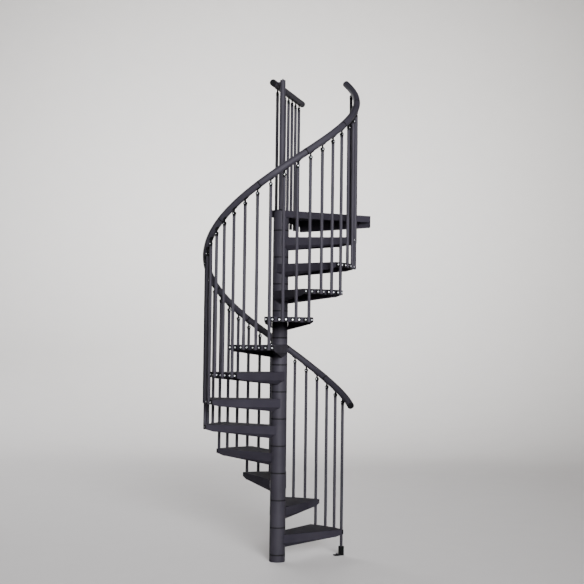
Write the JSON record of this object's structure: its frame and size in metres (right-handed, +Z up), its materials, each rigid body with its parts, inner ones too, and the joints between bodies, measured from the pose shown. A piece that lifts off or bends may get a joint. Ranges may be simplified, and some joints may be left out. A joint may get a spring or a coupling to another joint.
{
  "type": "spiral staircase",
  "caption": "One-storey spiral staircase: fan-shaped sheet-steel trays on a central column, tube balusters, a round helical handrail and a wedge landing with a straight guard rail.",
  "frame": {"origin": "centre of the column on the floor, on the flat underside of the base socket", "axes": "+Z up along the column; +X to the right and +Y away from the viewer of the reference view; the stair climbs anticlockwise seen from above"},
  "size_m": [1.3667, 1.5299, 3.9365],
  "materials": {
    "column_coating": "fine-textured satin powder coat, dark anthracite",
    "tread_coating": "fine-textured satin powder coat, dark anthracite",
    "landing_coating": "fine-textured satin powder coat, dark anthracite",
    "baluster_coating": "fine-textured satin powder coat, dark anthracite",
    "handrail_coating": "fine-textured satin powder coat, dark anthracite",
    "black_plastic": "moulded black nylon, satin"
  },
  "bodies": {
    "root": {"base_socket": "column_coating", "centre_pole": "column_coating", "post_cap": "column_coating", "column_tubes": "column_coating", "landing_hub": "column_coating", "tread_01": "tread_coating", "tread_02": "tread_coating", "tread_03": "tread_coating", "tread_04": "tread_coating", "tread_05": "tread_coating", "tread_06": "tread_coating", "tread_07": "tread_coating", "tread_08": "tread_coating", "tread_09": "tread_coating", "tread_10": "tread_coating", "tread_11": "tread_coating", "tread_12": "tread_coating", "landing": "landing_coating", "balusters_1": "baluster_coating", "balusters_2": "baluster_coating", "balusters_3": "baluster_coating", "balusters_4": "baluster_coating", "guard_balusters": "baluster_coating", "guard_rail_peg": "baluster_coating", "handrail_01": "handrail_coating", "handrail_02": "handrail_coating", "handrail_03": "handrail_coating", "handrail_04": "handrail_coating", "handrail_05": "handrail_coating", "handrail_06": "handrail_coating", "handrail_07": "handrail_coating", "handrail_08": "handrail_coating", "handrail_09": "handrail_coating", "handrail_10": "handrail_coating", "handrail_11": "handrail_coating", "guard_rail": "handrail_coating", "column_spacers": "black_plastic", "baluster_clips": "black_plastic", "guard_clips": "black_plastic", "baluster_swivels": "black_plastic", "guard_swivels": "black_plastic", "handrail_joint_rings": "black_plastic", "handrail_caps": "black_plastic", "guard_rail_caps": "black_plastic", "floor_foot": "black_plastic"}
  },
  "joints": []
}
